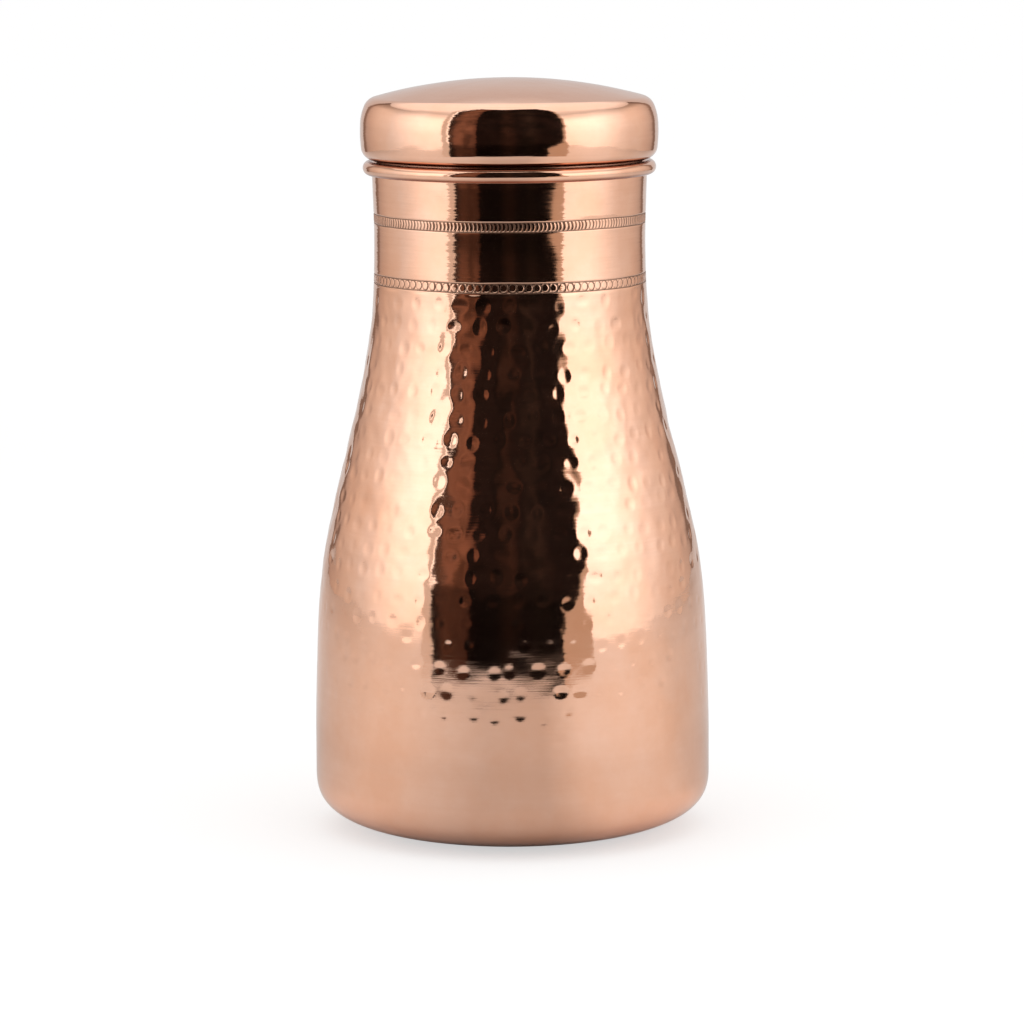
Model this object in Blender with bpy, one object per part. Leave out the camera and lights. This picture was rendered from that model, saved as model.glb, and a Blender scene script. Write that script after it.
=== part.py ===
"""Hammered copper water jar with a domed push-in lid, standing on the floor at the origin.

Units are metres, +Z is up and Z = 0 is the floor. Every piece is turned about the Z axis from the
section of its copper sheet. The jar's sheet runs from the middle of the base, up the belly and the
neck, and is rolled outward round a wire at the mouth. The lid is two sheets: a domed cap whose lower
edge is turned in, and a sleeve whose flange lies on that turned-in lip and whose wall goes down into
the neck.
"""

import math

import bmesh
import bpy

SEGMENTS = 48  # steps round every turned piece
GAP = 0.0003  # running and resting gap between neighbouring pieces

# jar
JAR_SHEET = 0.0008
FOOT_R = 0.0383  # flat disc that the jar stands on
BELLY_R = 0.0659  # widest radius, low on the belly
BELLY_Z = 0.0300
BASE_REACH = 0.0625  # the base corner's horizontal reach from the belly line
BASE_RISE = 0.0217  # height at which the base corner has become the belly wall
BASE_SQUARE = 3.1  # squareness of the base corner
NECK_TOP_R = 0.0454
# heights and outside radii of the template that the belly and neck are checked against
TEMPLATE = (
    (BELLY_Z, BELLY_R),
    (0.0540, 0.0654),
    (0.0780, 0.0642),
    (0.0960, 0.0618),
    (0.1120, 0.0583),
    (0.1330, 0.0532),
    (0.1530, 0.0487),
    (0.1680, 0.0463),
    (0.1800, 0.0453),
    (0.1950, 0.0449),
    (0.2080, 0.0451),
    (0.2170, NECK_TOP_R),
)

# rolled rim
BEAD_R = 0.0023  # outside radius of the roll
BEAD_TOP_Z = 0.2230
BEAD_OUT_R = 0.0485  # widest radius of the roll
ROLL_END_DEG = -100.0
WIRE_R = 0.0008

# chased bands: two engraved lines round each
BAND_Z = (0.2041, 0.1844)
BAND_LINE_OFF = 0.00155
LINE_DEPTH = 0.00025
LINE_HALF_W = 0.0003

# lid
LID_SHEET = 0.0007
TOTAL_H = 0.2500
CAP_DOME_R = 0.168  # crown radius of the dome
CAP_WALL_R = 0.0493  # widest radius of the cap's barrel-shaped wall
CAP_WALL_Z = 0.2325  # height of that widest ring
CAP_FOOT_Z = 0.2271  # the wall's lower end, where the edge turns in
CAP_FOOT_LEAN = 6.7  # how far the wall leans there, in degrees
CAP_HEAD_Z = 0.24125  # the wall's upper end, where the shoulder starts
CAP_HEAD_LEAN = 25.0
CAP_HEAD_POWER = 1.7  # how late the wall starts to lean in towards its upper end
SLEEVE_R = 0.0439
SLEEVE_BOTTOM_Z = 0.2095
SLEEVE_LEAD = 0.0020  # height of the drawn-in lead at the sleeve's lower edge
SLEEVE_LEAD_IN = 0.0006


def smooth_between(table, z):
    """Radius at height z on a smooth curve through the table's stations."""
    n = len(table)
    slopes = []
    for i in range(n):
        a = table[max(i - 1, 0)]
        b = table[min(i + 1, n - 1)]
        slopes.append((b[1] - a[1]) / (b[0] - a[0]))
    slopes[0] = 0.0
    for i in range(n - 1):
        (z0, r0), (z1, r1) = table[i], table[i + 1]
        if z <= z1 or i == n - 2:
            h = z1 - z0
            t = (z - z0) / h
            return (
                (2 * t**3 - 3 * t**2 + 1) * r0
                + (t**3 - 2 * t**2 + t) * h * slopes[i]
                + (-2 * t**3 + 3 * t**2) * r1
                + (t**3 - t**2) * h * slopes[i + 1]
            )


def arc(centre, radius, start_deg, end_deg, steps, flatten=1.0):
    """Points on an arc in the (r, z) section; flatten scales it along z."""
    points = []
    for i in range(steps + 1):
        a = math.radians(start_deg + (end_deg - start_deg) * i / steps)
        points.append((centre[0] + radius * math.cos(a), centre[1] + radius * flatten * math.sin(a)))
    return points


def moved_left(points, distance):
    """The section line moved sideways by distance, to the left of its direction."""
    out = []
    for i, (r, z) in enumerate(points):
        before = points[max(i - 1, 0)]
        after = points[min(i + 1, len(points) - 1)]
        d0 = (r - before[0], z - before[1])
        d1 = (after[0] - r, after[1] - z)
        nr = nz = 0.0
        for dr, dz in (d0, d1):
            length = math.hypot(dr, dz)
            if length > 1e-9:
                nr -= dz / length
                nz += dr / length
        length = math.hypot(nr, nz)
        nr, nz = nr / length, nz / length
        # keep the sheet's thickness round corners
        dr, dz = d1 if math.hypot(*d1) > 1e-9 else d0
        along = math.hypot(dr, dz)
        share = max(0.5, (nr * -dz + nz * dr) / along)
        out.append((max(r + nr * distance / share, 0.0), z + nz * distance / share))
    return out


def base_corner(steps):
    """The base from the flat foot to the belly: a squared oval, cut off by the foot."""
    left = BELLY_R - BASE_REACH

    def height(r):
        u = (r - left) / BASE_REACH
        return BASE_RISE * (1 - (1 - u**BASE_SQUARE) ** (1 / BASE_SQUARE))

    drop = height(FOOT_R)
    u0 = (FOOT_R - left) / BASE_REACH
    start = math.asin(u0 ** (BASE_SQUARE / 2))
    points = []
    for i in range(1, steps + 1):
        a = start + (math.pi / 2 - start) * i / steps
        r = left + BASE_REACH * math.sin(a) ** (2 / BASE_SQUARE)
        z = BASE_RISE * (1 - max(math.cos(a), 0.0) ** (2 / BASE_SQUARE)) - drop
        points.append((r, z))
    return points


def jar_line(base_steps, belly_steps, neck_steps, roll_steps):
    """The jar sheet's outer side: foot, base corner, belly and neck, then the inside of the roll."""
    points = [(0.0, 0.0), (FOOT_R, 0.0)]
    points += base_corner(base_steps)
    neck_start, neck_end = TEMPLATE[-4][0], TEMPLATE[-1][0]
    for i in range(belly_steps + 1):
        z = BELLY_Z + (neck_start - BELLY_Z) * i / belly_steps
        points.append((smooth_between(TEMPLATE, z), z))
    for i in range(1, neck_steps + 1):
        z = neck_start + (neck_end - neck_start) * i / neck_steps
        points.append((smooth_between(TEMPLATE, z), z))
    centre = (BEAD_OUT_R - BEAD_R, BEAD_TOP_Z - BEAD_R)
    inner = BEAD_R - JAR_SHEET
    reach = centre[0] - NECK_TOP_R
    bend = arc((centre[0], centre[1] + inner - 2 * reach), reach, 180.0, 90.0, 3, flatten=2.0)
    points += bend[:-1]
    points += arc(centre, inner, 90.0, ROLL_END_DEG, roll_steps)
    return points


def with_chased_lines(points):
    """Adds a shallow groove to the section line for each engraved line on the neck."""
    grooves = sorted(z + side * BAND_LINE_OFF for z in BAND_Z for side in (-1, 1))
    out, done = [], False
    for r, z in points:
        if not done:
            while grooves and z > grooves[0]:
                g = grooves.pop(0)
                radius = smooth_between(TEMPLATE, g)
                out += [
                    (radius, g - LINE_HALF_W),
                    (radius - LINE_DEPTH, g),
                    (radius, g + LINE_HALF_W),
                ]
            done = not grooves
        out.append((r, z))
    return out


def turned(name, section, closed):
    """A body turned about Z from a section line in the (r, z) plane."""
    mesh = bpy.data.meshes.new(name)
    bm = bmesh.new()
    verts = [bm.verts.new((r, 0.0, z)) for r, z in section]
    for a, b in zip(verts, verts[1:]):
        bm.edges.new((a, b))
    if closed:
        bm.edges.new((verts[-1], verts[0]))
    bm.to_mesh(mesh)
    bm.free()
    ob = bpy.data.objects.new(name, mesh)
    bpy.context.collection.objects.link(ob)
    screw = ob.modifiers.new("Turn", "SCREW")
    screw.axis = "Z"
    screw.angle = 2 * math.pi
    screw.steps = SEGMENTS
    screw.render_steps = SEGMENTS
    screw.use_merge_vertices = True
    screw.merge_threshold = 0.00001
    screw.use_smooth_shade = True
    screw.use_normal_calculate = False
    depsgraph = bpy.context.evaluated_depsgraph_get()
    solid = bpy.data.meshes.new_from_object(ob.evaluated_get(depsgraph))
    ob.modifiers.clear()
    ob.data = solid
    solid.name = name
    bm = bmesh.new()
    bm.from_mesh(solid)
    bmesh.ops.recalc_face_normals(bm, faces=bm.faces)
    bm.to_mesh(solid)
    bm.free()
    solid.shade_smooth()
    solid.set_sharp_from_angle(angle=math.radians(38.0))
    return ob


def copper(name, colour, roughness):
    mat = bpy.data.materials.new(name)
    mat.use_nodes = True
    shader = mat.node_tree.nodes["Principled BSDF"]
    shader.inputs["Base Color"].default_value = (*colour, 1.0)
    shader.inputs["Metallic"].default_value = 1.0
    shader.inputs["Roughness"].default_value = roughness
    mat.diffuse_color = (*colour, 1.0)
    return mat


for ob in list(bpy.data.objects):
    bpy.data.objects.remove(ob, do_unlink=True)

# the jar: one sheet from the middle of the base to the end of the roll
outer = jar_line(base_steps=6, belly_steps=11, neck_steps=2, roll_steps=7)
lean = jar_line(base_steps=5, belly_steps=8, neck_steps=2, roll_steps=7)
inner = moved_left(lean, JAR_SHEET)
inner[0] = (0.0, JAR_SHEET)
jar = turned("jar_shell", with_chased_lines(outer) + inner[::-1], closed=False)
jar.data.materials.append(copper("polished_copper", (0.86, 0.50, 0.35), 0.16))

# the wire that the mouth is rolled round
wire_r = (NECK_TOP_R + BEAD_OUT_R - JAR_SHEET) / 2
wire = turned("rim_wire", arc((wire_r, BEAD_TOP_Z - BEAD_R), WIRE_R, 0.0, 324.0, 9), closed=True)
wire.data.materials.append(copper("drawn_copper_wire", (0.62, 0.33, 0.22), 0.42))

# the lid's cap: dome, rounded shoulder, wall, and the lower edge turned in above the rolled rim
lip_z = BEAD_TOP_Z + GAP
lip_r = SLEEVE_R + GAP
dome_centre = TOTAL_H - CAP_DOME_R
foot_lean, head_lean = math.radians(CAP_FOOT_LEAN), math.radians(CAP_HEAD_LEAN)


def cap_wall(z):
    """Radius of the cap's wall at height z: a barrel that leans in more and more towards the shoulder."""
    if z < CAP_WALL_Z:
        low = (CAP_WALL_Z - z) / (CAP_WALL_Z - CAP_FOOT_Z)
        return CAP_WALL_R - math.tan(foot_lean) * (CAP_WALL_Z - CAP_FOOT_Z) / 2 * low**2
    high = (z - CAP_WALL_Z) / (CAP_HEAD_Z - CAP_WALL_Z)
    rise = CAP_HEAD_Z - CAP_WALL_Z
    return CAP_WALL_R - math.tan(head_lean) * rise / (CAP_HEAD_POWER + 1) * high ** (CAP_HEAD_POWER + 1)


# the turned-in edge: a round that meets the wall without a crease
tuck_r = (CAP_FOOT_Z - lip_z) / (1 - math.sin(foot_lean))
tuck = (cap_wall(CAP_FOOT_Z) - tuck_r * math.cos(foot_lean), lip_z + tuck_r)
# the shoulder: a round that meets both the wall and the dome without a crease
head_r, head_z = cap_wall(CAP_HEAD_Z), CAP_HEAD_Z - dome_centre
edge_r = (CAP_DOME_R**2 - head_r**2 - head_z**2) / (
    2 * (CAP_DOME_R - head_r * math.cos(head_lean) - head_z * math.sin(head_lean))
)
edge = (
    head_r - edge_r * math.cos(head_lean),
    CAP_HEAD_Z - edge_r * math.sin(head_lean),
)
edge_lean = math.degrees(math.asin(edge[0] / (CAP_DOME_R - edge_r)))
cap_line = [(lip_r, lip_z)]
cap_line += arc(tuck, tuck_r, -90.0, -CAP_FOOT_LEAN, 5)
for i in range(1, 6):
    z = CAP_FOOT_Z + (CAP_HEAD_Z - CAP_FOOT_Z) * i / 6
    cap_line.append((cap_wall(z), z))
cap_line += arc(edge, edge_r, CAP_HEAD_LEAN, 90.0 - edge_lean, 5)
for i in range(1, 7):
    a = math.radians(edge_lean * (1 - i / 6))
    cap_line.append((CAP_DOME_R * math.sin(a), dome_centre + CAP_DOME_R * math.cos(a)))
cap_line[-1] = (0.0, TOTAL_H)
cap_inside = moved_left(cap_line, LID_SHEET)
cap_inside[0] = (lip_r, lip_z + LID_SHEET)
cap_inside[-1] = (0.0, TOTAL_H - LID_SHEET)
cap = turned("lid_cap", cap_line[::-1] + cap_inside, closed=False)
cap.data.materials.append(copper("polished_copper_lid", (0.88, 0.52, 0.37), 0.12))

# the sleeve: a flange on the cap's turned-in lip, and a wall that goes down into the neck
flange_z = lip_z + LID_SHEET + GAP
inside_tuck = tuck_r - LID_SHEET
flange_r = tuck[0] + math.sqrt(inside_tuck**2 - (tuck[1] - flange_z) ** 2) - GAP
bend_r = 0.0009
lead_z = SLEEVE_BOTTOM_Z + SLEEVE_LEAD
sleeve_line = [(SLEEVE_R - SLEEVE_LEAD_IN, SLEEVE_BOTTOM_Z), (SLEEVE_R, lead_z)]
sleeve_line += [(SLEEVE_R, flange_z), (flange_r, flange_z)]
sleeve_inside = [
    (SLEEVE_R - SLEEVE_LEAD_IN - LID_SHEET, SLEEVE_BOTTOM_Z),
    (SLEEVE_R - LID_SHEET, lead_z),
]
sleeve_inside += arc(
    (SLEEVE_R - LID_SHEET + bend_r, flange_z + LID_SHEET - bend_r), bend_r, 180.0, 90.0, 3
)
sleeve_inside += [(flange_r, flange_z + LID_SHEET)]
sleeve = turned("lid_sleeve", sleeve_line + sleeve_inside[::-1], closed=True)
sleeve.data.materials.append(copper("spun_copper_sleeve", (0.80, 0.46, 0.32), 0.26))
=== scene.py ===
"""Hammered copper water jar with a domed push-in lid: the finished surfaces, the studio and the camera."""

import math

import bpy
import numpy as np
from mathutils import Matrix, Vector


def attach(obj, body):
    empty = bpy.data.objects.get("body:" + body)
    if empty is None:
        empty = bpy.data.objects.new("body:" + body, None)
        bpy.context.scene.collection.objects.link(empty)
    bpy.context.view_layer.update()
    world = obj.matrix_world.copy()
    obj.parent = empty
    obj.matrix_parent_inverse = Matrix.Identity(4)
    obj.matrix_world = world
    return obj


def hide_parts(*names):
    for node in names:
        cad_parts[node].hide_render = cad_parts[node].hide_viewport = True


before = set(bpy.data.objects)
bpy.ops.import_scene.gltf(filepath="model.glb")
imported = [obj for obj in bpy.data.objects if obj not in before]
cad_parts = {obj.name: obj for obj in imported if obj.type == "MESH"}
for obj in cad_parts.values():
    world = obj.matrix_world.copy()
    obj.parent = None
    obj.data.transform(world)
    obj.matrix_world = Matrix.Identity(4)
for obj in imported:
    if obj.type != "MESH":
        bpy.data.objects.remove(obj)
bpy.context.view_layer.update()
rng = np.random.default_rng(7)

# ---------------------------------------------------------------- sizes, as in the solids
JAR_SHEET = 0.0008
FOOT_R, BELLY_R, BELLY_Z = 0.0383, 0.0659, 0.0300
BASE_REACH, BASE_RISE, BASE_SQUARE = 0.0625, 0.0217, 3.1
TEMPLATE = (
    (BELLY_Z, BELLY_R), (0.0540, 0.0654), (0.0780, 0.0642), (0.0960, 0.0618), (0.1120, 0.0583),
    (0.1330, 0.0532), (0.1530, 0.0487), (0.1680, 0.0463), (0.1800, 0.0453), (0.1950, 0.0449),
    (0.2080, 0.0451), (0.2170, 0.0454),
)
NECK_TOP_R = TEMPLATE[-1][1]
BEAD_R, BEAD_TOP_Z, BEAD_OUT_R, ROLL_END_DEG = 0.0023, 0.2230, 0.0485, -100.0
BAND_Z = (0.2041, 0.1844)  # middles of the two chased bands
BAND_LINE_OFF = 0.00155
BAND_HALF = 0.0022  # half the height of the finely meshed strip round each band
MARKS = 103  # punch marks round each band
GAP = 0.0003
LID_SHEET, TOTAL_H = 0.0007, 0.2500
CAP_DOME_R = 0.168
CAP_WALL_R, CAP_WALL_Z = 0.0493, 0.2325
CAP_FOOT_Z, CAP_FOOT_LEAN = 0.2271, 6.7
CAP_HEAD_Z, CAP_HEAD_LEAN, CAP_HEAD_POWER = 0.24125, 25.0, 1.7
SLEEVE_R, SLEEVE_BOTTOM_Z, SLEEVE_LEAD, SLEEVE_LEAD_IN = 0.0439, 0.2095, 0.0020, 0.0006

# the hammering
ROW_PITCH = 0.0074
MARK_PITCH = 0.0083
HAMMER_TOP, HAMMER_END = 0.1822, 0.0300
AROUND = 480  # columns round the belly

# the studio. Bearings are in degrees from the front, to the right
BACKDROP = 0.985
FLOOR_DIFFUSE, FLOOR_GLOW = 0.42, 0.565
SCREEN = (
    (-152, (0.66, 0.62, 0.60)), (-150.5, (0.27, 0.20, 0.16)), (-146, (0.29, 0.21, 0.17)), (-142, (0.56, 0.46, 0.40)),
    (-134, (0.68, 0.58, 0.51)), (-122, (0.82, 0.74, 0.67)), (-108, (0.90, 0.86, 0.82)), (-102, 0.95),
    (-96, 1.06), (-88, 1.23), (-81, 1.40), (-74, 1.55), (-62, 1.66), (-50, 1.64), (0, 1.0), (41, 1.64), (58, 1.74), (70, 1.72),
    (78, 1.57), (87, 1.34), (95, 1.13), (105, (0.96, 0.92, 0.89)), (118, (0.88, 0.82, 0.76)), (126, (0.80, 0.70, 0.63)),
    (136, (0.68, 0.58, 0.51)), (142, (0.56, 0.46, 0.40)), (146, (0.29, 0.21, 0.17)), (150.5, (0.27, 0.20, 0.16)), (152, (0.66, 0.62, 0.60)),
)
CARD_R, CARD_TOP = 0.66, 1.95
CARD_LEFT, CARD_RIGHT_LOW, CARD_RIGHT = -45.6, 29.0, 40.3
DARK = (0.0110, 0.0062, 0.0050)
CARD = (
    (-60, (0.060, 0.035, 0.025)), (-43.0, (0.060, 0.035, 0.025)), (-40.5, (0.150, 0.075, 0.050)), (-37, (0.200, 0.098, 0.062)),
    (-28, (0.190, 0.092, 0.058)), (-25, (0.130, 0.060, 0.040)), (-24.3, DARK), (-8, DARK),
    (-2, (0.034, 0.018, 0.012)), (6, DARK), (16, (0.024, 0.016, 0.012)), (24, DARK), (60, DARK),
)
STRIPS = (("bright_slit", -1.2, -0.1, (1.9, 1.9, 1.9), 0.17), ("grey_strip", -5.6, -0.05, (0.74, 0.70, 0.66), -1.0))


def smooth_between(table, z):
    """Radius at height z (an array) on the smooth curve through the table's stations."""
    zs = np.array([s[0] for s in table])
    rs = np.array([s[1] for s in table])
    slopes = np.zeros(len(zs))
    slopes[1:-1] = (rs[2:] - rs[:-2]) / (zs[2:] - zs[:-2])
    slopes[-1] = (rs[-1] - rs[-2]) / (zs[-1] - zs[-2])
    z = np.asarray(z, float)
    i = np.clip(np.searchsorted(zs, z, side="left") - 1, 0, len(zs) - 2)
    h = zs[i + 1] - zs[i]
    t = (z - zs[i]) / h
    return (
        (2 * t**3 - 3 * t**2 + 1) * rs[i]
        + (t**3 - 2 * t**2 + t) * h * slopes[i]
        + (-2 * t**3 + 3 * t**2) * rs[i + 1]
        + (t**3 - t**2) * h * slopes[i + 1]
    )


def arc(centre, radius, start_deg, end_deg, steps, flatten=1.0):
    a = np.radians(np.linspace(start_deg, end_deg, steps + 1))
    return np.stack([centre[0] + radius * np.cos(a), centre[1] + radius * flatten * np.sin(a)], 1)


def section_normals(line):
    """Unit normals to the left of a section line's direction, in (r, z)."""
    d = np.gradient(line, axis=0)
    n = np.stack([-d[:, 1], d[:, 0]], 1)
    return n / np.maximum(np.linalg.norm(n, axis=1, keepdims=True), 1e-12)


def moved_left(line, distance):
    out = line + section_normals(line) * distance
    out[:, 0] = np.maximum(out[:, 0], 0.0)
    return out


def base_corner(steps):
    left = BELLY_R - BASE_REACH
    u0 = (FOOT_R - left) / BASE_REACH
    drop = BASE_RISE * (1 - (1 - u0**BASE_SQUARE) ** (1 / BASE_SQUARE))
    start = math.asin(u0 ** (BASE_SQUARE / 2))
    a = start + (math.pi / 2 - start) * np.arange(1, steps + 1) / steps
    r = left + BASE_REACH * np.sin(a) ** (2 / BASE_SQUARE)
    z = BASE_RISE * (1 - np.maximum(np.cos(a), 0.0) ** (2 / BASE_SQUARE)) - drop
    return np.stack([r, z], 1)


# ---------------------------------------------------------------- turned meshes
class Turned:
    """A surface of rings round Z. Rings with different numbers of vertices are zipped together."""

    def __init__(self):
        self.verts, self.rings, self.faces, self.attrs = [], [], [], []
        self.count = 0

    def ring(self, points, attr=None):
        """points: (n, 3), evenly round Z from +X. One point closes the surface on the axis."""
        self.rings.append((self.count, len(points)))
        self.verts.append(points)
        self.attrs.append(np.zeros((len(points), 3)) if attr is None else attr)
        self.count += len(points)
        if len(self.rings) > 1:
            self.join(self.rings[-2], self.rings[-1])

    def join(self, a, b):
        (ia, na), (ib, nb) = a, b
        if na == nb:
            j = np.arange(na)
            k = (j + 1) % na
            self.faces.append(np.stack([ia + j, ia + k, ib + k, ib + j], 1))
            return
        if na == 1 or nb == 1:
            n = max(na, nb)
            j = np.arange(n)
            k = (j + 1) % n
            if na == 1:
                self.faces.append(np.stack([np.full(n, ia), ib + k, ib + j], 1))
            else:
                self.faces.append(np.stack([ia + j, ia + k, np.full(n, ib)], 1))
            return
        tris = []
        i = j = 0
        while i < na or j < nb:
            if j >= nb or (i < na and (i + 1) / na <= (j + 1) / nb):
                tris.append((ia + i, ia + (i + 1) % na, ib + j % nb))
                i += 1
            else:
                tris.append((ia + i % na, ib + (j + 1) % nb, ib + j))
                j += 1
        self.faces.append(np.array(tris))

    def close(self):
        self.join(self.rings[-1], self.rings[0])

    def build(self, name, attr_names=()):
        verts = np.concatenate(self.verts)
        loops, starts, total = [], [], 0
        for f in self.faces:
            loops.append(f.ravel())
            starts.append(total + np.arange(len(f)) * f.shape[1])
            total += f.size
        mesh = bpy.data.meshes.new(name)
        mesh.vertices.add(len(verts))
        mesh.vertices.foreach_set("co", verts.ravel())
        mesh.loops.add(total)
        mesh.loops.foreach_set("vertex_index", np.concatenate(loops).astype(np.int32))
        starts = np.concatenate(starts).astype(np.int32)
        mesh.polygons.add(len(starts))
        mesh.polygons.foreach_set("loop_start", starts)
        mesh.update(calc_edges=True)
        mesh.validate()
        mesh.shade_smooth()
        values = np.concatenate(self.attrs)
        for i, attr_name in enumerate(attr_names):
            layer = mesh.attributes.new(attr_name, "FLOAT", "POINT")
            layer.data.foreach_set("value", values[:, i].astype(np.float32))
        ob = bpy.data.objects.new(name, mesh)
        bpy.context.scene.collection.objects.link(ob)
        return ob


def round_z(r, z, n, lift=None, normal=None):
    """A ring of n points at (r, z), moved by lift along the section normal (nr, nz)."""
    a = 2 * np.pi * np.arange(n) / n
    rr = np.full(n, r)
    zz = np.full(n, z)
    if lift is not None:
        rr = rr + lift * normal[0]
        zz = zz + lift * normal[1]
    return np.stack([rr * np.cos(a), rr * np.sin(a), zz], 1)


def smooth_field(rows, columns, row_step, column_step, shortest, longest, seed):
    """Random waves between two wavelengths, periodic round the columns, of spread 1."""
    r = np.random.default_rng(seed)
    pad = int(longest / row_step) + 1
    noise = r.standard_normal((rows + 2 * pad, columns))
    fr = np.fft.fftfreq(rows + 2 * pad, row_step)[:, None]
    fc = np.fft.fftfreq(columns, column_step)[None, :]
    f = np.sqrt(fr**2 + fc**2)
    keep = np.exp(-((f * shortest) ** 2)) * (1 - np.exp(-((f * longest) ** 2)))
    field = np.fft.ifft2(np.fft.fft2(noise) * keep).real[pad : pad + rows]
    return field / field.std()


def fade(x, low, high):
    t = np.clip((x - low) / (high - low), 0.0, 1.0)
    return t * t * (3 - 2 * t)


# ---------------------------------------------------------------- the jar
belly_line_z = np.arange(BELLY_Z, BAND_Z[1] - BAND_HALF, 0.00085)
corner = base_corner(34)
# even spacing along the base corner
seg = np.r_[0, np.cumsum(np.hypot(*np.diff(np.vstack([[FOOT_R, 0.0], corner]), axis=0).T))]
pts = np.vstack([[FOOT_R, 0.0], corner])
n_corner = int(seg[-1] / 0.0009)
s_even = np.linspace(0, seg[-1], n_corner + 1)
fine = np.vstack([[FOOT_R, 0.0], base_corner(600)])
fs = np.r_[0, np.cumsum(np.hypot(*np.diff(fine, axis=0).T))]
corner = np.stack([np.interp(np.linspace(0, fs[-1], n_corner + 1), fs, fine[:, i]) for i in (0, 1)], 1)
belly = np.stack([smooth_between(TEMPLATE, belly_line_z), belly_line_z], 1)
wall = np.vstack([corner[:-1], belly])
wall_s = np.r_[0, np.cumsum(np.hypot(*np.diff(wall, axis=0).T))]
wall_n = -section_normals(wall)  # outward


def hammering(line, line_s, columns, seed):
    """How far the hammered sheet stands out from the turned shape, for each point of a grid of line by columns, and how deep in a mark each point is."""
    r = np.random.default_rng(seed)
    rows = len(line)
    step = float(np.median(np.diff(line_s)))
    lift = np.zeros((rows, columns))
    pit = np.zeros((rows, columns))
    mean_r = float(line[:, 0].mean())
    planish = smooth_field(rows, columns, step, 2 * np.pi * mean_r / columns, 0.0085, 0.016, seed + 1)
    broad = smooth_field(rows, columns, step, 2 * np.pi * mean_r / columns, 0.020, 0.045, seed + 2)
    z = line[:, 1]
    strength = (1 - fade(z, HAMMER_TOP - 0.006, HAMMER_TOP - 0.0008)) * (0.25 + 0.75 * fade(z, 0.030, 0.058)) * fade(z, 0.006, 0.030)
    even = 0.28 + 0.72 * fade(z, 0.074, 0.104)  # the lower wall is smoother than the shoulder
    lift += (strength * even)[:, None] * (0.000044 * planish + 0.00006 * broad)
    marks_from, marks_to = HAMMER_END, HAMMER_TOP - 0.0030
    s_of_z = np.interp([marks_from, marks_to], z, line_s)
    count = int((s_of_z[1] - s_of_z[0]) / ROW_PITCH)
    column_a = 2 * np.pi * np.arange(columns) / columns
    turn = 0.0
    for k in range(count + 1):
        s0 = s_of_z[1] - k * ROW_PITCH
        r0 = float(np.interp(s0, line_s, line[:, 0]))
        z0 = float(np.interp(s0, line_s, z))
        around = int(round(2 * np.pi * r0 / MARK_PITCH))
        turn += 0.5 + r.normal(0, 0.05)
        depth_here = (0.12 + 0.88 * fade(z0, 0.036, 0.053)) * (0.82 + 0.18 * fade(z0, 0.072, 0.098))
        loose = 1.0 + 0.8 * (1 - fade(z0, 0.072, 0.100))  # the lower rows are struck less evenly
        small = 0.84 + 0.16 * fade(z0, 0.072, 0.098)
        wander = r.normal(0, 1, 3)
        for m in range(around):
            a0 = 2 * np.pi * (m + turn) / around + r.normal(0, 0.00050 * loose) / r0
            s1 = s0 + r.normal(0, 0.00040 * loose) + 0.0004 * (
                wander[0] * math.sin(a0) + wander[1] * math.cos(a0) + wander[2] * math.sin(2 * a0)
            )
            size = small * r.uniform(0.0019, 0.0026)
            depth = small * depth_here * r.uniform(0.00010, 0.00021) * r.uniform(1.55 - 0.55 * loose, 1.0)
            if r.random() < 0.12:
                depth *= 0.30
            squash = r.uniform(0.82, 1.20)
            i0 = int(np.searchsorted(line_s, s1 - 1.9 * size))
            i1 = int(np.searchsorted(line_s, s1 + 1.9 * size))
            if i1 <= i0:
                continue
            half = 1.9 * size / r0
            j0 = int(math.floor((a0 - half) / (2 * np.pi) * columns))
            j1 = int(math.ceil((a0 + half) / (2 * np.pi) * columns))
            js = np.arange(j0, j1 + 1)
            da = (js * 2 * np.pi / columns - a0) * r0
            ds = line_s[i0:i1] - s1
            rho = np.sqrt((da[None, :] * squash) ** 2 + (ds[:, None] / squash) ** 2) / size
            bowl = np.where(rho < 1, 1 - rho**2, 0.0)
            # the rim is rounded over, and a little metal stands up round it
            bowl = np.where(rho < 1, bowl, 0.0)
            rim = np.exp(-(((rho - 1.08) / 0.22) ** 2))
            js = js % columns
            patch = -depth * bowl + 0.10 * depth * rim
            lift[i0:i1, js] += patch
            pit[i0:i1, js] = np.maximum(pit[i0:i1, js], bowl * min(1.0, depth / 0.00012))
    clear = (1 - fade(z, HAMMER_TOP - 0.0012, HAMMER_TOP - 0.0002))[:, None]
    return lift * clear, pit * clear


lift, pit = hammering(wall, wall_s, AROUND, 11)
lift = np.minimum(lift, 0.00012)
lift = np.minimum(lift, (BELLY_R - 0.00001 - wall[:, 0])[:, None] + 0.0000001)

jar = Turned()
# the foot, from the axis outward
jar.ring(np.array([[0.0, 0.0, 0.0]]))
for r0, n in ((0.006, 60), (0.013, 120), (0.021, 240), (0.029, 240), (0.034, 240), (0.037, 480)):
    jar.ring(round_z(r0, 0.0, n))
for i in range(len(wall)):
    a = np.stack([pit[i], np.zeros(AROUND), np.zeros(AROUND)], 1)
    jar.ring(round_z(wall[i, 0], wall[i, 1], AROUND, lift[i], wall_n[i]), a)


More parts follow.
